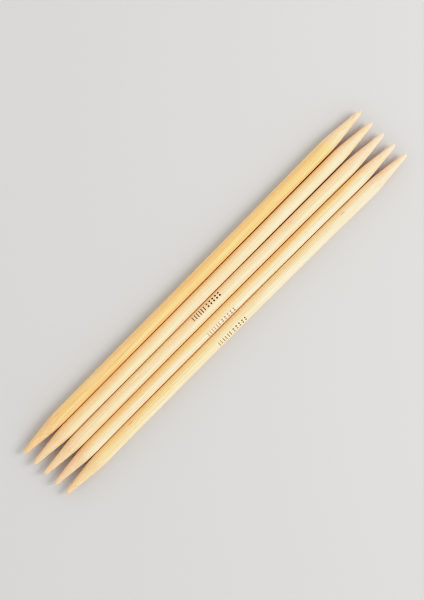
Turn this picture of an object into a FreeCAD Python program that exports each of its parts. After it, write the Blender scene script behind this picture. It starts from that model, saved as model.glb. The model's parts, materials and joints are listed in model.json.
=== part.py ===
import FreeCAD, Part
import math
import os

# A set of five loose double pointed knitting needles, lying side by side on a
# flat surface.  Each needle is one turned rod of bamboo: a long parallel shaft
# with the same taper at both ends, and nothing is fixed to anything else.
#
# Frame: +X along the middle needle, +Y across the row, +Z up.  The origin is on
# the resting surface, under the middle of the row's bounding box.
# Millimetres throughout.

# ---- one needle ----------------------------------------------------------
DIAMETER = 6.0              # parallel shaft: the needle's size
LENGTH = 200.0              # point to point
TAPER_HALF_ANGLE = 6.6      # degrees, the cone between nose and shoulder
TAPER_CORNER = 18.4         # from the point to where cone and shaft would meet
SHOULDER_TANGENT = 4.1      # length of the soft shoulder, each side of that corner
NOSE_RADIUS = 0.80          # the rounded point itself
NOSE_EXIT_ANGLE = 16.0      # degrees, surface slope where the nose becomes the ogive

# ---- the row -------------------------------------------------------------
# The shafts lie against each other near the -X end and fan open a little
# towards +X, as loose rods do when they are laid down by hand.
REST_CLEARANCE = 0.035      # between neighbouring shafts where they are closest
SHAFT_START = LENGTH / 2.0 - TAPER_CORNER - SHOULDER_TANGENT   # half the parallel length

# name, yaw about Z in degrees, shift along X of the needle's middle
NEEDLES = [
    ("needle_1", 0.306, -0.27),
    ("needle_2", 0.159, -0.46),
    ("needle_3", 0.000, -0.17),
    ("needle_4", -0.079, -0.08),
    ("needle_5", -0.127, 0.46),
]

RADIUS = DIAMETER / 2.0


def end_profile():
    """Edges of one tapered end in the XY plane, from the point at x = 0."""
    a = math.radians(TAPER_HALF_ANGLE)
    b = math.radians(NOSE_EXIT_ANGLE)
    ta = math.tan(a)

    def on_arc(cx, cy, r, slope):
        return (cx - r * math.sin(slope), cy + r * math.cos(slope))

    # nose: a ball of NOSE_RADIUS, up to the slope b
    apex = (0.0, 0.0)
    nose_end = on_arc(NOSE_RADIUS, 0.0, NOSE_RADIUS, b)
    nose_mid = on_arc(NOSE_RADIUS, 0.0, NOSE_RADIUS, (math.pi / 2.0 + b) / 2.0)

    # ogive: eases the slope from b down to the cone's, and lands on the cone
    y0 = RADIUS - TAPER_CORNER * ta
    ogive_r = (y0 + ta * nose_end[0] - nose_end[1]) / (
        (math.cos(a) - math.cos(b)) - ta * (math.sin(b) - math.sin(a)))
    oc = (nose_end[0] + ogive_r * math.sin(b), nose_end[1] - ogive_r * math.cos(b))
    ogive_mid = on_arc(oc[0], oc[1], ogive_r, (a + b) / 2.0)
    ogive_end = on_arc(oc[0], oc[1], ogive_r, a)

    # shoulder: tangent to the cone and to the shaft
    shoulder_r = SHOULDER_TANGENT / math.tan(a / 2.0)
    sc = (TAPER_CORNER + SHOULDER_TANGENT, RADIUS - shoulder_r)
    shoulder_start = on_arc(sc[0], sc[1], shoulder_r, a)
    shoulder_mid = on_arc(sc[0], sc[1], shoulder_r, a / 2.0)
    shoulder_end = (sc[0], RADIUS)

    print("ogive radius %.3f  shoulder radius %.3f  cone %.3f to %.3f" % (
        ogive_r, shoulder_r, ogive_end[0], shoulder_start[0]))
    return [
        ("arc", apex, nose_mid, nose_end),
        ("arc", nose_end, ogive_mid, ogive_end),
        ("line", ogive_end, None, shoulder_start),
        ("arc", shoulder_start, shoulder_mid, shoulder_end),
    ]


def needle_solid():
    """The needle along X, its middle at the origin."""
    half = LENGTH / 2.0
    end = end_profile()
    edges = []

    def at(p, side):
        return FreeCAD.Vector(side * (half - p[0]), p[1], 0.0)

    def add(kind, p, m, q, side):
        if kind == "arc":
            edges.append(Part.Arc(at(p, side), at(m, side), at(q, side)).toShape())
        else:
            edges.append(Part.LineSegment(at(p, side), at(q, side)).toShape())

    for kind, p, m, q in end:
        add(kind, p, m, q, -1)
    edges.append(Part.LineSegment(at(end[-1][3], -1), at(end[-1][3], 1)).toShape())
    for kind, p, m, q in reversed(end):
        add(kind, q, m, p, 1)
    edges.append(Part.LineSegment(at((0.0, 0.0), 1), at((0.0, 0.0), -1)).toShape())

    face = Part.Face(Part.Wire(edges))
    solid = face.revolve(FreeCAD.Vector(0, 0, 0), FreeCAD.Vector(1, 0, 0), 360.0)
    if solid.ShapeType != "Solid":
        solid = Part.Solid(solid.Shells[0])
    if solid.Volume < 0:
        solid.reverse()
    return solid


def row_positions():
    """Middle of each needle in the row's frame, bounding box centred on 0, 0."""
    # axis positions across the row, from the clearance at the closed end
    y_closed = [0.0]
    for _ in NEEDLES[1:]:
        y_closed.append(y_closed[-1] - DIAMETER - REST_CLEARANCE)
    x_closed = -SHAFT_START
    mids = []
    for (name, yaw, dx), yc in zip(NEEDLES, y_closed):
        mids.append([dx, yc + math.tan(math.radians(yaw)) * (dx - x_closed)])

    x_hi = max(m[0] + (LENGTH / 2.0 - NOSE_RADIUS) * math.cos(math.radians(n[1])) + NOSE_RADIUS
               for m, n in zip(mids, NEEDLES))
    x_lo = min(m[0] - (LENGTH / 2.0 - NOSE_RADIUS) * math.cos(math.radians(n[1])) - NOSE_RADIUS
               for m, n in zip(mids, NEEDLES))
    ys = []
    for m, n in zip(mids, NEEDLES):
        t = math.radians(n[1])
        reach = SHAFT_START * abs(math.sin(t)) + RADIUS * math.cos(t)
        ys += [m[1] - reach, m[1] + reach]
    cx = (x_hi + x_lo) / 2.0
    cy = (max(ys) + min(ys)) / 2.0
    return [(m[0] - cx, m[1] - cy) for m in mids]


os.makedirs("parts", exist_ok=True)
base = needle_solid()
placed = []
for (name, yaw, dx), (mx, my) in zip(NEEDLES, row_positions()):
    shape = base.copy()
    shape.rotate(FreeCAD.Vector(0, 0, 0), FreeCAD.Vector(0, 0, 1), yaw)
    shape.translate(FreeCAD.Vector(mx, my, RADIUS))
    shape.exportStep("parts/%s.step" % name)
    placed.append((name, yaw, mx, my, shape))

for name, yaw, mx, my, shape in placed:
    t = math.radians(yaw)
    b = shape.optimalBoundingBox(False, False)
    print("%s  middle (%.4f, %.4f)  axis (%.7f, %.7f)  volume %.1f  valid %s  box x %.3f %.3f  y %.3f %.3f  z %.3f %.3f" % (
        name, mx, my, math.cos(t), math.sin(t), shape.Volume, shape.isValid(),
        b.XMin, b.XMax, b.YMin, b.YMax, b.ZMin, b.ZMax))
for (na, _, _, _, sa), (nb, _, _, _, sb) in zip(placed, placed[1:]):
    print("%s to %s: least distance %.4f, common volume %.5f" % (
        na, nb, sa.distToShape(sb)[0], sa.common(sb).Volume))
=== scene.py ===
import json
import math

import bpy
import numpy as np
from mathutils import Matrix, Vector


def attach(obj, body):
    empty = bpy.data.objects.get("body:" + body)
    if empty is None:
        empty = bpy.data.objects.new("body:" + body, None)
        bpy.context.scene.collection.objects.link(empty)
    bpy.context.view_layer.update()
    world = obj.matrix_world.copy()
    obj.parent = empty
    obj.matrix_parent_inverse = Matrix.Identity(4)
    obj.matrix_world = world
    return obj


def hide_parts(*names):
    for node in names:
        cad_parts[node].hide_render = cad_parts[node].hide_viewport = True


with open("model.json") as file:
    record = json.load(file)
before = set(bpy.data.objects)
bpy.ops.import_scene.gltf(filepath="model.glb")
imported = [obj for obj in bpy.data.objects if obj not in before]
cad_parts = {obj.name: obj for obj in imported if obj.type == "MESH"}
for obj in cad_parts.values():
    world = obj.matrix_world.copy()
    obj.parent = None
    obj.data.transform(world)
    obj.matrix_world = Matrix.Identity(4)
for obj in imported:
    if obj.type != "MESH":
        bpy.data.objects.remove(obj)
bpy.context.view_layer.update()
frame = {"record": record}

MM = 0.001
NEEDLES = ["needle_1", "needle_2", "needle_3", "needle_4", "needle_5"]

# --------------------------------------------------------------------------
# where each needle is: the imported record's shaft mounts give middle and axis
# --------------------------------------------------------------------------
MIDDLE, AXIS = {}, {}
for mount in frame["record"]["mounts"]:
    if mount["name"].endswith("_shaft"):
        key = mount["name"][: -len("_shaft")]
        MIDDLE[key] = Vector(mount["pos_m"])
        AXIS[key] = Vector(mount["axis"]).normalized()

RADIUS = MIDDLE["needle_3"].z / MM          # the shafts rest on z = 0
HALF = 100.0                                # half the length, mm

# taper, from the point inwards (mm, degrees)
NOSE_R, NOSE_EXIT = 0.80, math.radians(16.0)
CONE = math.radians(6.6)
CORNER, SHOULDER = 18.4, 4.1


def taper_table():
    """Distance from the point and radius, along the whole taper, finely spaced."""
    nose_end = (NOSE_R * (1 - math.sin(NOSE_EXIT)), NOSE_R * math.cos(NOSE_EXIT))
    ta = math.tan(CONE)
    y0 = RADIUS - CORNER * ta
    og = (y0 + ta * nose_end[0] - nose_end[1]) / (
        (math.cos(CONE) - math.cos(NOSE_EXIT)) - ta * (math.sin(NOSE_EXIT) - math.sin(CONE)))
    pts = []
    for i in range(17):                      # the rounded point, by slope
        g = math.radians(90) + (NOSE_EXIT - math.radians(90)) * (i / 16.0)
        pts.append((NOSE_R * (1 - math.sin(g)), NOSE_R * math.cos(g)))
    for i in range(1, 9):                    # ogive
        g = NOSE_EXIT + (CONE - NOSE_EXIT) * i / 8.0
        pts.append((nose_end[0] + og * (math.sin(NOSE_EXIT) - math.sin(g)),
                    nose_end[1] + og * (math.cos(g) - math.cos(NOSE_EXIT))))
    sr = SHOULDER / math.tan(CONE / 2.0)
    s0 = (CORNER - SHOULDER * math.cos(CONE), RADIUS - SHOULDER * math.sin(CONE))
    x = pts[-1][0]
    n = int((s0[0] - x) / 0.4)
    for i in range(1, n + 1):                # cone
        t = i / float(n)
        pts.append((x + (s0[0] - x) * t, pts[24][1] + (s0[1] - pts[24][1]) * t))
    cx = CORNER + SHOULDER
    for i in range(1, 19):                   # shoulder
        g = CONE * (1 - i / 18.0)
        pts.append((cx - sr * math.sin(g), RADIUS - sr + sr * math.cos(g)))
    return pts


TAPER = taper_table()

# --------------------------------------------------------------------------
# one row per needle: how the rod was cut from the culm and how it lies, and the light and shade painted into its
# colours
# --------------------------------------------------------------------------
#   bow      mm, how far the middle stands off the straight axis, towards +Y
#   skin     degrees from straight up, towards +Y: where the darker, golden side faces; partly the culm's dense outer wall, partly painted shade, which on needles 2 to 5 faces +Y, away from the light
#   edges    mm, the heights at which pale inner wood turns into golden outer wood, which is partly painted shade
#   tilt     mm, how far that boundary shifts from the middle to either end, as the rod is cut askew
#   sanded   colour of the bared wood of the -X and +X tapers: the -X one darker and more orange, partly painted shade where the cone faces away from the light; the +X one paler and whiter, partly painted light where it faces the light
LOOK = {
    "needle_1": dict(bow=-0.065, outer_wall_and_shade=-15.0, edges=(-1.7, 1.5), tilt=0.0, seed=11.0, streak=1.50,
                     pale=(0.86, 0.62, 0.33), gold=(0.865, 0.548, 0.228),
                     near=(1.00, 1.00, 1.02), far=(1.00, 1.00, 1.00),
                     bare_wood_lit_and_shaded=((0.840, 0.545, 0.300), (0.858, 0.640, 0.470))),
    "needle_2": dict(bow=0.035, outer_wall_and_shade=74.0, edges=(-1.2, 2.9), tilt=0.0, seed=23.0, streak=1.10,
                     pale=(0.865, 0.675, 0.450), gold=(0.87, 0.608, 0.325),
                     near=(1.00, 0.985, 0.95), far=(1.00, 1.01, 1.03),
                     bare_wood_lit_and_shaded=((0.830, 0.553, 0.322), (0.850, 0.580, 0.362))),
    "needle_3": dict(bow=0.17, outer_wall_and_shade=68.0, edges=(0.1, 4.3), tilt=0.0, seed=37.0, streak=1.10,
                     pale=(0.87, 0.668, 0.445), gold=(0.87, 0.600, 0.305),
                     near=(1.00, 1.00, 0.99), far=(1.00, 1.00, 1.02),
                     bare_wood_lit_and_shaded=((0.830, 0.553, 0.320), (0.840, 0.582, 0.416))),
    "needle_4": dict(bow=0.26, outer_wall_and_shade=62.0, edges=(0.2, 3.2), tilt=0.05, seed=53.0, streak=1.25,
                     pale=(0.87, 0.715, 0.520), gold=(0.87, 0.560, 0.235),
                     near=(1.00, 0.99, 0.98), far=(1.00, 1.01, 1.03),
                     bare_wood_lit_and_shaded=((0.830, 0.542, 0.324), (0.850, 0.576, 0.384))),
    "needle_5": dict(bow=0.32, outer_wall_and_shade=60.0, edges=(0.75, 3.6), tilt=0.45, seed=71.0, streak=1.30,
                     pale=(0.87, 0.685, 0.455), gold=(0.87, 0.600, 0.285),
                     near=(1.00, 0.975, 0.90), far=(1.00, 1.015, 1.06),
                     bare_wood_lit_and_shaded=((0.840, 0.568, 0.320), (0.850, 0.583, 0.415))),
}

# long streaks that one can pick out by eye: needle -> (across mm towards +Y, middle mm, half length, half width, gain)
STREAKS = {
    "needle_1": [(0.62, -42.0, 44.0, 0.30, 0.75), (-0.85, -10.0, 84.0, 0.34, 0.60), (0.05, -60.0, 26.0, 0.22, -0.55),
                 (-0.42, 26.0, 22.0, 0.26, 0.60), (0.30, 27.0, 20.0, 0.20, -0.45), (-2.00, 5.0, 70.0, 0.24, -0.70),
                 (-1.20, 62.0, 18.0, 0.22, 0.35)],
    "needle_2": [(0.62, -60.0, 20.0, 0.30, -0.45), (-0.45, -62.0, 18.0, 0.30, 0.30), (-2.05, -30.0, 26.0, 0.18, -0.60),
                 (-1.00, 55.0, 30.0, 0.30, 0.30)],
    "needle_3": [(-0.70, -28.0, 18.0, 0.22, -0.45), (-1.35, -30.0, 20.0, 0.22, 0.35), (0.05, 60.0, 22.0, 0.25, -0.45),
                 (-2.10, -30.0, 44.0, 0.16, -0.50), (1.05, 22.0, 16.0, 0.30, 0.30)],
    "needle_4": [(0.62, 55.0, 26.0, 0.24, 0.80), (0.05, 58.0, 24.0, 0.24, -0.75), (0.0, -55.0, 26.0, 0.30, 0.30),
                 (-0.72, -60.0, 20.0, 0.22, -0.50), (-1.95, -30.0, 40.0, 0.14, -0.30), (1.40, 30.0, 26.0, 0.24, -0.45)],
    "needle_5": [(0.70, -52.0, 30.0, 0.22, 0.45), (0.42, -55.0, 26.0, 0.16, -0.60), (-0.36, -60.0, 26.0, 0.18, -0.85),
                 (-0.85, -52.0, 30.0, 0.20, 0.45), (-1.30, -58.0, 24.0, 0.18, -0.70), (-1.85, -50.0, 30.0, 0.20, 0.40),
                 (-2.25, 0.0, 80.0, 0.16, -0.60), (0.80, 52.0, 24.0, 0.24, -0.35)],
}

# flecks in the wood: needle -> (along mm, across mm towards +Y, half length, half width, strength, colour)
BROWN, GREY = (0.62, 0.33, 0.11), (0.58, 0.43, 0.22)
FLECKS = {
    "needle_1": [(-22.0, 1.1, 1.2, 0.22, 0.30, BROWN), (71.0, -0.5, 2.2, 0.20, 0.25, GREY)],
    "needle_2": [(-57.4, 1.02, 5.0, 0.28, 0.42, BROWN), (31.0, -0.9, 8.0, 0.20, 0.25, BROWN)],
    "needle_3": [(46.2, 1.33, 1.6, 0.60, 0.30, BROWN), (-71.0, -0.6, 3.0, 0.30, 0.22, GREY)],
    "needle_4": [(78.2, 0.19, 3.6, 0.16, 0.55, GREY), (78.6, -0.34, 3.0, 0.16, 0.55, GREY),
                 (47.6, -0.69, 1.9, 0.20, 0.60, GREY)],
    "needle_5": [(-60.0, 1.47, 1.9, 0.34, 0.80, BROWN), (63.5, 0.88, 1.8, 0.26, 0.90, BROWN),
                 (-95.0, -0.47, 0.8, 0.40, 0.75, BROWN), (84.0, 0.3, 0.9, 0.45, 0.28, GREY)],
}


def bow_at(name, x):
    """Offset of the needle's own axis towards +Y at x mm from its middle."""
    return LOOK[name]["bow"] * (1.0 - (x / 66.7) ** 2)


def wobble(name, x, phi):
    """Small departures from a true cylinder, in mm: turned and sanded wood is never exact."""
    s = LOOK[name]["seed"]
    r = 0.006 * np.cos(2 * phi + 0.011 * x + s)
    r = r + 0.004 * np.cos(3 * phi - 0.023 * x + 1.7 * s)
    r = r + 0.005 * np.sin(0.047 * x + 0.6 * s) + 0.003 * np.sin(0.171 * x + 2.1 * s)
    r = r + 0.0022 * np.cos(11 * phi + 0.6 * np.sin(0.031 * x + s)) * np.sin(0.059 * x + s)
    r = r + 0.0016 * np.cos(17 * phi + 1.1 * np.sin(0.023 * x - s) + s)
    return r


def place(name, x, across, up):
    """Row frame position, in metres, of a point given along, across and above the needle's axis in mm."""
    a = AXIS[name]
    side = Vector((-a.y, a.x, 0.0))
    m = MIDDLE[name]
    return (m.x + (a.x * x + side.x * across) * MM,
            m.y + (a.y * x + side.y * across) * MM,
            m.z + up * MM)


SEGMENTS = 96


def rod(name):
    """The needle's surface: rings along the axis, closed by one point at each end."""
    stations = [(-HALF + d, r) for d, r in TAPER]
    inner = -stations[-1][0]
    n = int(round(2 * inner / 0.5))
    stations += [(-inner + 2 * inner * i / n, RADIUS) for i in range(1, n)]
    stations += [(HALF - d, r) for d, r in reversed(TAPER)]

    x = np.array([s[0] for s in stations[1:-1]])
    r = np.array([s[1] for s in stations[1:-1]])
    phi = np.arange(SEGMENTS) * 2 * math.pi / SEGMENTS
    X, P = np.meshgrid(x, phi, indexing="ij")
    full = np.clip(r / RADIUS, 0, 1)[:, None]
    rr = r[:, None] + wobble(name, X, P) * full
    # a hand-finished point: each end leans very slightly its own way
    lean = np.clip((np.abs(X) - 78.0) / 22.0, 0, 1) ** 2
    s = LOOK[name]["seed"]
    lean_y = 0.05 * np.sin(s + (X > 0) * 2.0) * lean
    lean_z = 0.03 * np.cos(1.3 * s + (X > 0) * 1.1) * lean
    across = rr * np.sin(P) + bow_at(name, X) + lean_y
    up = rr * np.cos(P) + lean_z

    verts = []
    for i in range(X.shape[0]):
        for j in range(SEGMENTS):
            verts.append(place(name, X[i, j], across[i, j], up[i, j]))
    ends = []
    for sg in (-1, 1):
        ly = 0.05 * math.sin(s + (sg > 0) * 2.0)
        lz = 0.03 * math.cos(1.3 * s + (sg > 0) * 1.1)
        verts.append(place(name, sg * HALF, bow_at(name, sg * HALF) + ly, lz))
        ends.append(len(verts) - 1)
    faces = []
    rings = X.shape[0]
    for i in range(rings - 1):
        a, b = i * SEGMENTS, (i + 1) * SEGMENTS
        for j in range(SEGMENTS):
            k = (j + 1) % SEGMENTS
            faces.append((a + j, b + j, b + k, a + k))
    last = (rings - 1) * SEGMENTS
    for j in range(SEGMENTS):
        k = (j + 1) % SEGMENTS
        faces.append((ends[0], j, k))
        faces.append((ends[1], last + k, last + j))
    mesh = bpy.data.meshes.new(name + "_rod")
    mesh.from_pydata(verts, [], faces)
    mesh.validate()
    mesh.polygons.foreach_set("use_smooth", [True] * len(mesh.polygons))
    mesh.update()
    obj = bpy.data.objects.new(name + "_rod", mesh)
    bpy.context.scene.collection.objects.link(obj)
    return obj


# --------------------------------------------------------------------------
# shader helpers
# --------------------------------------------------------------------------
class Nodes:
    def __init__(self, name):
        self.mat = bpy.data.materials.new(name)
        self.mat.use_nodes = True
        self.tree = self.mat.node_tree
        self.tree.nodes.clear()

    def new(self, kind, **values):
        n = self.tree.nodes.new(kind)
        for k, v in values.items():
            setattr(n, k, v)
        return n

    def feed(self, socket, value):
        if value is None:
            return
        if isinstance(value, bpy.types.NodeSocket):
            self.tree.links.new(value, socket)
        else:
            socket.default_value = value

    def math(self, op, a, b=None, c=None, clamp=False):
        n = self.new("ShaderNodeMath", operation=op, use_clamp=clamp)
        for s, v in zip(n.inputs, (a, b, c)):
            self.feed(s, v)
        return n.outputs[0]

    def vec(self, op, a, b=None, scale=None):
        n = self.new("ShaderNodeVectorMath", operation=op)
        self.feed(n.inputs[0], a)
        if b is not None:
            self.feed(n.inputs[1], b)
        if scale is not None:
            self.feed(n.inputs["Scale"], scale)
        return n.outputs["Value"] if op in ("LENGTH", "DOT_PRODUCT", "DISTANCE") else n.outputs["Vector"]

    def ramp(self, value, a, b, lo=0.0, hi=1.0, smooth=True):
        n = self.new("ShaderNodeMapRange", interpolation_type="SMOOTHSTEP" if smooth else "LINEAR")
        n.clamp = True if not smooth else n.clamp
        self.feed(n.inputs["Value"], value)
        self.feed(n.inputs["From Min"], a)
        self.feed(n.inputs["From Max"], b)
        self.feed(n.inputs["To Min"], lo)
        self.feed(n.inputs["To Max"], hi)
        return n.outputs["Result"]

    def mix(self, fac, a, b, blend="MIX"):
        n = self.new("ShaderNodeMix", data_type="RGBA", blend_type=blend)
        n.clamp_factor = True
        self.feed(n.inputs[0], fac)
        self.feed(n.inputs[6], a if isinstance(a, bpy.types.NodeSocket) else (*a, 1.0))
        self.feed(n.inputs[7], b if isinstance(b, bpy.types.NodeSocket) else (*b, 1.0))
        return n.outputs[2]

    def mixf(self, fac, a, b):
        n = self.new("ShaderNodeMix", data_type="FLOAT")
        n.clamp_factor = True
        self.feed(n.inputs[0], fac)
        self.feed(n.inputs[2], a)
        self.feed(n.inputs[3], b)
        return n.outputs[0]

    def noise(self, vector, detail=2.0, rough=0.5, scale=1.0, colour=False):
        n = self.new("ShaderNodeTexNoise", noise_dimensions="3D")
        self.feed(n.inputs["Vector"], vector)
        self.feed(n.inputs["Scale"], scale)
        self.feed(n.inputs["Detail"], detail)
        self.feed(n.inputs["Roughness"], rough)
        return n.outputs["Color"] if colour else n.outputs[0]

    def voronoi(self, vector, randomness=1.0):
        n = self.new("ShaderNodeTexVoronoi", voronoi_dimensions="3D", feature="F1")
        self.feed(n.inputs["Vector"], vector)
        self.feed(n.inputs["Scale"], 1.0)
        self.feed(n.inputs["Randomness"], randomness)
        return n.outputs["Distance"], n.outputs["Color"]

    def xyz(self, vector):
        n = self.new("ShaderNodeSeparateXYZ")
        self.feed(n.inputs[0], vector)
        return n.outputs

    def join(self, x, y, z):
        n = self.new("ShaderNodeCombineXYZ")
        for s, v in zip(n.inputs, (x, y, z)):
            self.feed(s, v)
        return n.outputs[0]


def wood_fields(N, name):
    """Fields of the solid bamboo that this needle is cut from, all in mm in the needle's own axes."""
    look = LOOK[name]
    a, m = AXIS[name], MIDDLE[name]
    tc = N.new("ShaderNodeTexCoord")
    p = N.vec("SUBTRACT", tc.outputs["Object"], tuple(m))
    rot = N.new("ShaderNodeVectorRotate", rotation_type="Z_AXIS")
    N.feed(rot.inputs["Vector"], p)
    N.feed(rot.inputs["Angle"], -math.atan2(a.y, a.x))
    here = N.vec("SCALE", rot.outputs["Vector"], scale=1000.0)          # along, across, up
    roll = N.new("ShaderNodeVectorRotate", rotation_type="X_AXIS")
    N.feed(roll.inputs["Vector"], here)
    # after this roll the culm's outer wall faces +Z of the wood, and so does the painted shade laid over the golden
    # side
    N.feed(roll.inputs["Angle"], math.radians(look["outer_wall_and_shade"]))
    grain = roll.outputs["Vector"]
    shift = N.vec("ADD", grain, (look["seed"] * 31.0, look["seed"] * 1.7, -look["seed"] * 2.3))

    # fibres wander a little across the rod as they run along it
    slow = N.vec("MULTIPLY", shift, (0.018, 0.16, 0.16))
    drift = N.noise(slow, detail=1.0, colour=True)
    drift = N.vec("SUBTRACT", drift, (0.5, 0.5, 0.5))
    drift = N.vec("MULTIPLY", drift, (0.0, 1.3, 1.3))
    g = N.vec("ADD", shift, drift)
    askew = N.ramp(N.xyz(here)[0], -60.0, 25.0, look["tilt"], -look["tilt"])
    depth = N.math("ADD", N.xyz(grain)[2], askew)
    return here, grain, shift, g, depth


def wood(N, name):
    """Colour, roughness and relief of the bamboo at a place in the rod."""
    look = LOOK[name]
    here, grain, shift, g, depth = wood_fields(N, name)
    lo, hi = look["edges"]
    # pale to golden across the rod: partly the culm's outer wall, partly painted shade on the side facing away from the
    # light
    outer_wall_and_shade = N.ramp(N.math("ADD", depth, N.math("MULTIPLY", N.math(
        "SUBTRACT", N.noise(N.vec("MULTIPLY", g, (0.02, 0.9, 0.9)), detail=2.0), 0.5), 1.6)), lo, hi)

    # vascular bundles: close and fine under the skin, larger and further apart inside
    fine_d, fine_c = N.voronoi(N.vec("MULTIPLY", g, (0.0065, 2.3, 2.3)))
    wide_d, wide_c = N.voronoi(N.vec("MULTIPLY", g, (0.0060, 1.25, 1.25)))
    crowd = N.ramp(depth, -1.6, 2.2)
    fine = N.ramp(fine_d, 0.50, 0.16)
    wide = N.ramp(wide_d, 0.36, 0.12)
    bundle = N.mixf(crowd, wide, fine)
    uneven = N.mixf(crowd, N.xyz(wide_c)[0], N.xyz(fine_c)[0])          # some bundles are darker than others
    bundle = N.math("MULTIPLY", bundle, N.ramp(uneven, 0.0, 1.0, 0.25, 1.0, smooth=False))

    # vessels: hair lines inside the bundles
    hair_d, hair_c = N.voronoi(N.vec("MULTIPLY", g, (0.020, 6.5, 6.5)))
    hair = N.math("MULTIPLY", N.ramp(hair_d, 0.22, 0.07), N.ramp(N.xyz(hair_c)[1], 0.35, 0.9))
    hair = N.math("MULTIPLY", hair, N.math("ADD", N.math("MULTIPLY", bundle, 0.7), 0.3))

    fibre = N.noise(N.vec("MULTIPLY", g, (0.22, 11.0, 11.0)), detail=4.0, rough=0.65)
    strand = N.noise(N.vec("MULTIPLY", g, (0.022, 3.6, 3.6)), detail=2.0, rough=0.55)
    band = N.noise(N.vec("MULTIPLY", g, (0.012, 1.5, 1.5)), detail=2.0)
    cloud = N.noise(N.vec("MULTIPLY", shift, (0.035, 0.35, 0.35)), detail=2.0)
    spot = N.noise(N.vec("MULTIPLY", shift, (0.35, 1.1, 1.1)), detail=3.0)

    # the golden side is the wood's own outer wall and painted shade together
    colour = N.mix(outer_wall_and_shade, look["pale"], look["gold"])
    # the tapers are taken down by sanding to bared inner wood, drier than the waxed shaft; the -X taper's darker, more
    # orange colour is partly painted shade and the +X taper's paler, whiter colour partly painted light
    x = N.xyz(here)[0]
    jag = N.math("MULTIPLY", N.math("SUBTRACT", N.noise(
        N.vec("MULTIPLY", g, (0.10, 1.8, 1.8)), detail=2.0), 0.5), 9.0)
    near = N.ramp(N.math("ADD", N.math("MULTIPLY", x, -1.0), jag), 76.0, 86.0)
    far = N.ramp(N.math("ADD", x, jag), 76.0, 86.0)
    taper = N.math("ADD", near, far)
    for end, fall, taper_tone_lit_and_shaded in ((near, look["near"], look["bare_wood_lit_and_shaded"][0]), (far, look["far"], look["bare_wood_lit_and_shaded"][1])):
        colour = N.mix(N.math("MULTIPLY", end, 0.75), colour, tuple(b / f for b, f in zip(taper_tone_lit_and_shaded, fall)))
    # pith cells between bundles are a shade lighter, bundles are browner
    k = look["streak"]
    colour = N.mix(N.math("MULTIPLY", bundle, 0.36 * k), colour, N.mix(1.0, colour, (0.84, 0.68, 0.48), "MULTIPLY"))
    colour = N.mix(N.math("MULTIPLY", hair, 0.60), colour, N.mix(1.0, colour, (0.62, 0.48, 0.34), "MULTIPLY"))
    colour = N.mix(N.math("MULTIPLY", N.ramp(strand, 0.44, 0.66), 0.62 * k), colour,
                   N.mix(1.0, colour, (0.95, 0.87, 0.70), "MULTIPLY"))
    colour = N.mix(N.math("MULTIPLY", N.ramp(strand, 0.50, 0.30), N.ramp(taper, 0.0, 1.0, 0.70 * k, 0.40)), colour,
                   N.mix(1.0, colour, (1.03, 1.07, 1.20), "MULTIPLY"))
    colour = N.mix(N.math("MULTIPLY", N.ramp(band, 0.40, 0.64), 0.40 * k), colour,
                   N.mix(1.0, colour, (0.96, 0.89, 0.76), "MULTIPLY"))
    colour = N.mix(N.math("MULTIPLY", N.ramp(cloud, 0.44, 0.64), 0.60), colour,
                   N.mix(1.0, colour, (1.01, 0.93, 0.93), "MULTIPLY"))
    colour = N.mix(N.math("MULTIPLY", N.ramp(cloud, 0.50, 0.34), 0.50), colour,
                   N.mix(1.0, colour, (1.0, 1.04, 1.08), "MULTIPLY"))
    colour = N.mix(N.math("MULTIPLY", N.ramp(spot, 0.40, 0.70), 0.22), colour,
                   N.mix(1.0, colour, (0.97, 0.91, 0.82), "MULTIPLY"))
    for across, middle, half_long, half_wide, gain in STREAKS[name]:
        # each follows the wander of the fibres and fades out at its ends
        off = N.math("SUBTRACT", N.math("ADD", N.xyz(here)[1], N.math("MULTIPLY", N.math("SUBTRACT", N.noise(
            N.vec("MULTIPLY", shift, (0.020, 0.10, 0.10)), detail=1.0), 0.5), 0.9)), across)
        line = N.ramp(N.math("ABSOLUTE", off), half_wide, half_wide * 0.15)
        run = N.ramp(N.math("ABSOLUTE", N.math("SUBTRACT", N.xyz(here)[0], middle)), half_long, half_long * 0.7)
        top = N.ramp(N.xyz(here)[2], -0.5, 0.5)
        mask = N.math("MULTIPLY", N.math("MULTIPLY", line, N.math("MULTIPLY", run, top)),
                      N.math("MULTIPLY", N.ramp(fibre, 0.30, 0.55, 0.6, 1.0), abs(gain)))
        colour = N.mix(mask, colour, N.mix(1.0, colour, (1.06, 1.10, 1.26) if gain > 0 else (0.92, 0.83, 0.62),
                                           "MULTIPLY"))
    fade = N.ramp(N.xyz(here)[0], -60.0, 25.0)
    colour = N.mix(1.0, colour, N.mix(fade, look["near"], look["far"]), "MULTIPLY")
    value = N.math("ADD", N.math("MULTIPLY", N.math("SUBTRACT", fibre, 0.5), 0.38), 1.0)
    tone = N.new("ShaderNodeHueSaturation")
    N.feed(tone.inputs["Color"], colour)
    N.feed(tone.inputs["Value"], value)
    colour = tone.outputs["Color"]

    # palest at the very point, where the end grain comes through
    point = N.ramp(N.math("ABSOLUTE", x), 92.0, 99.0)
    colour = N.mix(point, colour, N.mix(1.0, colour, (0.99, 1.01, 1.07), "MULTIPLY"))

    for fx, fy, half_long, half_wide, strength, tint in FLECKS[name]:
        up = math.sqrt(max(RADIUS ** 2 - fy ** 2, 0.0))
        if abs(fx) > 80:
            up = math.sqrt(max(1.40 ** 2 - fy ** 2, 0.0))
        away = N.vec("SUBTRACT", here, (fx, fy + bow_at(name, fx), up))
        away = N.vec("MULTIPLY", away, (1.0 / half_long, 1.0 / half_wide, 1.0 / half_wide))
        rag = N.math("ADD", N.vec("LENGTH", away), N.math("MULTIPLY", N.math("SUBTRACT", fibre, 0.5), 0.9))
        mask = N.math("MULTIPLY", N.ramp(rag, 1.05, 0.35), strength)
        colour = N.mix(mask, colour, tint)

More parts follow.
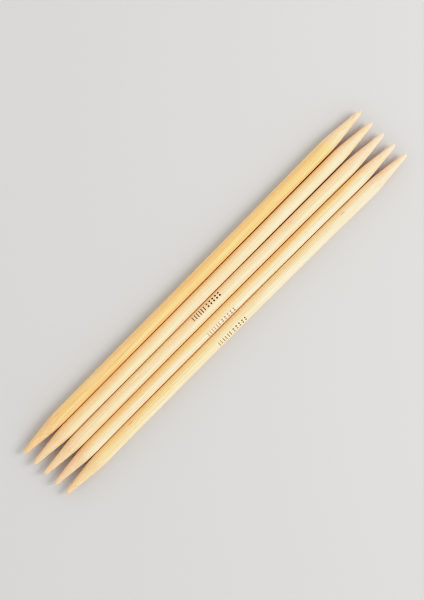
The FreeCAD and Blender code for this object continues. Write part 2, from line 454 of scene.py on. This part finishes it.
    rough = N.math("ADD", N.math("MULTIPLY", fibre, 0.14), N.math("MULTIPLY", bundle, 0.07))
    rough = N.math("ADD", rough, N.math("ADD", N.math("MULTIPLY", spot, 0.10), 0.38))
    rough = N.math("ADD", rough, N.math("MULTIPLY", taper, 0.06))

    height = N.math("MULTIPLY", fibre, 0.55)
    height = N.math("ADD", height, N.math("MULTIPLY", bundle, 0.45))
    height = N.math("SUBTRACT", height, N.math("MULTIPLY", hair, 0.9))
    return colour, rough, height, fibre, here, g, shift


def shader(N, colour, rough, height, distance, glow):
    """Satin surface over a body that lets light in a little way, redder the deeper it goes."""
    bump = N.new("ShaderNodeBump")
    N.feed(bump.inputs["Height"], height)
    N.feed(bump.inputs["Strength"], 0.55)
    N.feed(bump.inputs["Distance"], distance)
    b = N.new("ShaderNodeBsdfPrincipled")
    N.feed(b.inputs["Base Color"], colour)
    N.feed(b.inputs["Roughness"], rough)
    N.feed(b.inputs["IOR"], 1.45)
    N.feed(b.inputs["Specular IOR Level"], 0.36)
    N.feed(b.inputs["Normal"], bump.outputs["Normal"])
    if glow:
        N.feed(b.inputs["Subsurface Weight"], glow)
        N.feed(b.inputs["Subsurface Radius"], (1.0, 0.60, 0.34))
        N.feed(b.inputs["Subsurface Scale"], 0.0005)
        N.feed(b.inputs["Coat Weight"], 0.06)
        N.feed(b.inputs["Coat Roughness"], 0.34)
    out = N.new("ShaderNodeOutputMaterial")
    N.tree.links.new(b.outputs[0], out.inputs[0])


def bamboo(name):
    N = Nodes("bamboo_" + name)
    colour, rough, height, fibre, here, g, shift = wood(N, name)
    shader(N, colour, rough, height, 0.000018, 0.15)
    return N.mat


def ink(name, cover, strength, black):
    """Printed ink. Where it has worn, the wood's own colour shows through."""
    N = Nodes("size_ink_" + name)
    colour, rough, height, fibre, here, g, shift = wood(N, name)
    streaks = N.noise(N.vec("MULTIPLY", g, (0.35, 9.0, 9.0)), detail=3.0, rough=0.6)
    blot = N.noise(N.vec("MULTIPLY", shift, (1.6, 2.4, 2.4)), detail=3.0)
    wear = N.math("ADD", N.math("MULTIPLY", streaks, 0.5), N.math("MULTIPLY", blot, 0.5))
    edge = 0.5 + (cover - 0.5) * 0.5
    kept = N.ramp(wear, edge + 0.07, edge - 0.07)
    dark = N.mix(fibre, black, tuple(2.6 * c for c in black))
    worn = N.ramp(N.xyz(here)[0], -11.0, 5.0, 0.84, 1.12, smooth=False)   # the far end of the mark is the clearer one
    colour = N.mix(N.math("MULTIPLY", N.math("MULTIPLY", kept, worn), strength), colour, dark)
    rough = N.math("ADD", N.math("MULTIPLY", streaks, 0.20), 0.45)
    shader(N, colour, rough, wear, 0.000010, None)
    return N.mat


# --------------------------------------------------------------------------
# size mark: six bars and ten dots, a plain tally in ink
# --------------------------------------------------------------------------
INK_TOP, INK_ROOT = 0.016, 0.030            # mm above and below the wood's surface


def mark(name, start, stop, angle, tall):
    """start, stop: along the needle in mm. angle: degrees from straight up, towards +Y. tall: arc length in mm."""
    length = stop - start
    unit = length / 15.9
    shapes = []                              # centre along, centre across (arc), half along, half across, roundness
    x = 0.30
    for i in range(6):
        shapes.append((x, 0.0, 0.23, tall / 2.0, 0.17))
        x += 1.28
    x += 0.42
    for i in range(5):
        shapes.append((x + 0.2, tall * 0.27, 0.42, 0.42, 0.42))
        shapes.append((x + 0.2, -tall * 0.27, 0.42, 0.42, 0.42))
        x += 1.66
    s = LOOK[name]["seed"]
    verts, faces = [], []
    for k, (cx, cy, hx, hy, rad) in enumerate(shapes):
        # ink edges are a little uneven
        cx = cx + 0.03 * math.sin(3.1 * k + s)
        cy = cy + 0.03 * math.cos(2.3 * k + s)
        rows = 18
        base = len(verts)
        for i in range(rows + 1):
            e = math.cos(math.pi * (1 - i / rows))
            t = cy + hy * e
            inset = max(0.0, abs(hy * e) - (hy - rad))
            w = hx - (rad - math.sqrt(max(rad * rad - inset * inset, 0.0)))
            w = max(w, 0.02) * (1.0 + 0.05 * math.sin(5.0 * i + 7.0 * k + s))
            phi = math.radians(angle) + t / RADIUS
            for side in (-1, 1):
                xx = start + (cx + side * w) * unit
                r0 = RADIUS + float(wobble(name, np.array(xx), np.array(phi)))
                for r in (r0 + INK_TOP, r0 - INK_ROOT):
                    verts.append(place(name, xx, r * math.sin(phi) + bow_at(name, xx), r * math.cos(phi)))
        # per row: 0 left top, 1 left root, 2 right top, 3 right root
        for i in range(rows):
            a, b = base + 4 * i, base + 4 * (i + 1)
            faces.append((a, a + 2, b + 2, b))               # top
            faces.append((a + 1, b + 1, b + 3, a + 3))       # root
            faces.append((a, b, b + 1, a + 1))               # left wall
            faces.append((a + 2, a + 3, b + 3, b + 2))       # right wall
        a, b = base, base + 4 * rows
        faces.append((a, a + 1, a + 3, a + 2))
        faces.append((b, b + 2, b + 3, b + 1))
    mesh = bpy.data.meshes.new("size_mark_" + name[-1])
    mesh.from_pydata(verts, [], faces)
    mesh.validate()
    mesh.update()
    obj = bpy.data.objects.new("size_mark_" + name[-1], mesh)
    bpy.context.scene.collection.objects.link(obj)
    return obj


# --------------------------------------------------------------------------
# the pieces
# --------------------------------------------------------------------------
for name in NEEDLES:
    obj = rod(name)
    obj.data.materials.append(bamboo(name))
    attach(obj, name)
    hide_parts(name)

#        needle      start    stop   angle  tall cover strength ink
MARKS = [
    ("needle_1", -11.0, 4.9, 158.0, 2.2, 0.90, 0.90, (0.020, 0.014, 0.010)),
    ("needle_2", -11.2, 4.7, -141.0, 2.2, 0.90, 0.90, (0.020, 0.014, 0.010)),
    ("needle_3", -11.0, 4.9, 23.3, 2.3, 1.10, 0.95, (0.010, 0.007, 0.005)),
    ("needle_4", -11.1, 4.8, -36.0, 2.0, 0.88, 0.80, (0.130, 0.098, 0.055)),
    ("needle_5", -11.2, 4.9, -36.1, 2.2, 0.95, 0.78, (0.050, 0.034, 0.018)),
]
for name, start, stop, angle, tall, cover, strength, black in MARKS:
    obj = mark(name, start, stop, angle, tall)
    obj.data.materials.append(ink(name, cover, strength, black))
    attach(obj, name)

# --------------------------------------------------------------------------
# floor, light, camera
# --------------------------------------------------------------------------
mesh = bpy.data.meshes.new("floor")
F = 3.0
mesh.from_pydata([(-F, -F, 0), (F, -F, 0), (F, F, 0), (-F, F, 0)], [], [(0, 1, 2, 3)])
floor = bpy.data.objects.new("floor", mesh)
bpy.context.scene.collection.objects.link(floor)
N = Nodes("floor_plain")
tc = N.new("ShaderNodeTexCoord")
grain_n = N.noise(tc.outputs["Object"], detail=3.0, scale=900.0)
b = N.new("ShaderNodeBsdfPrincipled")
N.feed(b.inputs["Base Color"], (0.56, 0.556, 0.548, 1.0))
N.feed(b.inputs["Roughness"], 0.85)
N.feed(b.inputs["Specular IOR Level"], 0.2)
bp = N.new("ShaderNodeBump")
N.feed(bp.inputs["Height"], grain_n)
N.feed(bp.inputs["Strength"], 0.15)
N.feed(bp.inputs["Distance"], 0.0001)
N.feed(b.inputs["Normal"], bp.outputs["Normal"])
out = N.new("ShaderNodeOutputMaterial")
N.tree.links.new(b.outputs[0], out.inputs[0])
floor.data.materials.append(N.mat)

scene = bpy.context.scene
world = bpy.data.worlds.new("studio")
scene.world = world
world.use_nodes = True
# a white tent: even all round, dimmer straight overhead where the camera hangs
tree = world.node_tree
bg = tree.nodes["Background"]
tc = tree.nodes.new("ShaderNodeTexCoord")
split = tree.nodes.new("ShaderNodeSeparateXYZ")
tree.links.new(tc.outputs["Generated"], split.inputs[0])
dip = tree.nodes.new("ShaderNodeMapRange")
dip.interpolation_type = "SMOOTHSTEP"
tree.links.new(split.outputs["Z"], dip.inputs["Value"])
for socket, value in (("From Min", 0.50), ("From Max", 0.97), ("To Min", 1.16), ("To Max", 0.35)):
    dip.inputs[socket].default_value = value
tree.links.new(dip.outputs["Result"], bg.inputs["Strength"])
bg.inputs["Color"].default_value = (1.0, 1.0, 0.995, 1.0)

VIEW_TURN = math.radians(-45.096)            # the row runs 45 degrees across the frame


def area(name, where, size, power, colour):
    light = bpy.data.lights.new(name, "AREA")
    light.shape = "DISK"
    light.size = size
    light.energy = power
    light.color = colour
    o = bpy.data.objects.new(name, light)
    o.location = where
    o.rotation_mode = "QUATERNION"
    o.rotation_quaternion = (Vector((0, 0, 0)) - Vector(where)).to_track_quat("-Z", "Y")
    scene.collection.objects.link(o)
    return o


def sky(azimuth, elevation, far):
    """A place far metres off, by compass round the row: 0 is +X, 90 is +Y."""
    a, e = math.radians(azimuth), math.radians(elevation)
    return Vector((math.cos(a) * math.cos(e), math.sin(a) * math.cos(e), math.sin(e))) * far


area("key", sky(-38.0, 40.0, 1.1), 0.60, 6.5, (1.0, 0.98, 0.95))

cam_data = bpy.data.cameras.new("camera")
cam = bpy.data.objects.new("camera", cam_data)
scene.collection.objects.link(cam)
scene.camera = cam
cam_data.type = "PERSP"
cam_data.sensor_width = 36.0
cam_data.lens = 85.0
MM_PER_PIXEL = 200.0 / 480.0
high = 600 * MM_PER_PIXEL * MM               # what the frame's long side covers, at the needles' axes
distance = high * cam_data.lens / cam_data.sensor_width
cam.location = (0.278 * MM, 1.296 * MM, RADIUS * MM + distance)
cam.rotation_euler = (0.0, 0.0, VIEW_TURN)
cam_data.clip_start, cam_data.clip_end = 0.01, 20.0

scene.view_settings.view_transform = "Standard"
scene.view_settings.look = "None"
scene.view_settings.exposure = 0.0
# a gentle shoulder, as a camera has, so that pale wood in full light keeps its colour
scene.view_settings.use_curve_mapping = True
curves = scene.view_settings.curve_mapping
curves.use_clip = False
curves.extend = "HORIZONTAL"
shoulder = curves.curves[3]
shoulder.points[0].location = (0.0, 0.0)
shoulder.points[1].location = (1.60, 1.0)
for at, out_value in ((0.20, 0.235), (0.40, 0.470), (0.60, 0.690), (0.75, 0.828), (0.90, 0.912), (1.05, 0.957), (1.30, 0.988)):
    shoulder.points.new(at, out_value)
curves.update()
scene.cycles.filter_width = 1.0              # as crisp as a sharp lens
